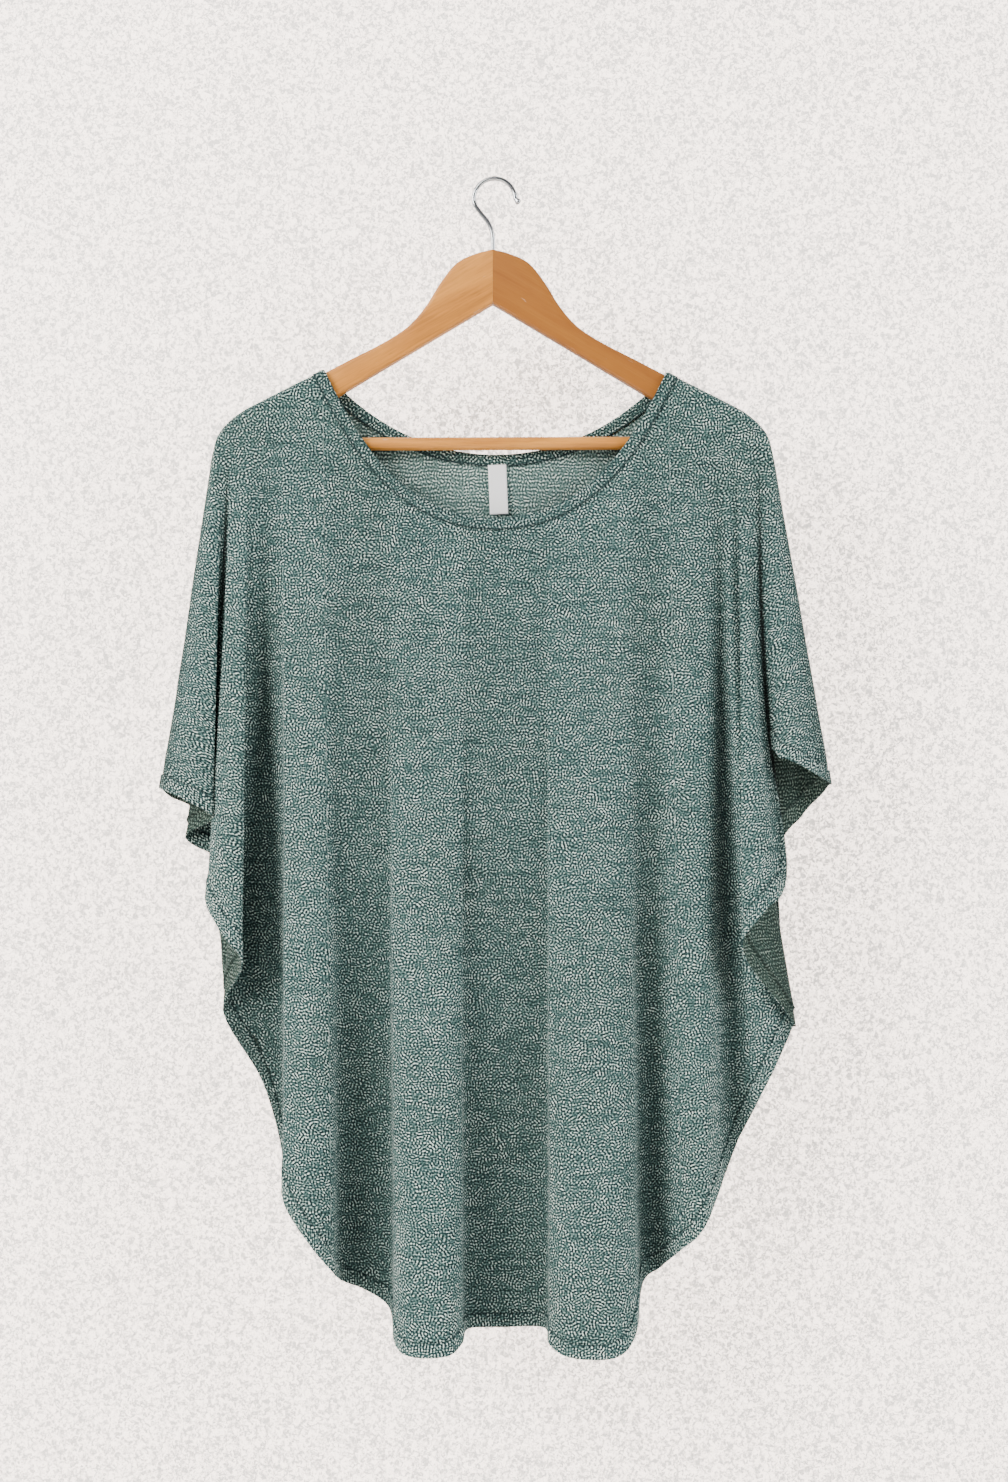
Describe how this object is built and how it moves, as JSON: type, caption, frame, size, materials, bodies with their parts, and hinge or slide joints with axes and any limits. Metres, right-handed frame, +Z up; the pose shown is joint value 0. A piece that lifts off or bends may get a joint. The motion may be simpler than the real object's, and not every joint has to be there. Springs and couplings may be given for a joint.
{
  "type": "kaftan top",
  "caption": "Kaftan top of melange knit with batwing sleeves cut in one, bound scoop neck and cascading side edges, hung on a wooden hanger with a round bar and a wire hook.",
  "frame": {"origin": "inside top of the hanger's hook, where it rests on the rail or peg that holds it", "axes": "+Z up along the longest extent; +X to the right of someone who faces the front; the front faces -Y, and Y is the shortest extent, front to back"},
  "size_m": [0.5692, 0.0849, 0.9901],
  "materials": {
    "knit": "dark teal and pale sage melange jersey",
    "binding": "the same knit, cut on the bias and folded over the edge",
    "label": "white woven label, blank",
    "wood": "honey varnish",
    "bar_wood": "lighter honey varnish",
    "chrome": "polished wire"
  },
  "bodies": {
    "root": {"front": "knit", "back": "knit", "neckband": "binding", "label": "label", "hanger_arm_left": "wood", "hanger_arm_right": "wood", "trouser_bar": "bar_wood", "hanger_hook": "chrome"}
  },
  "joints": []
}
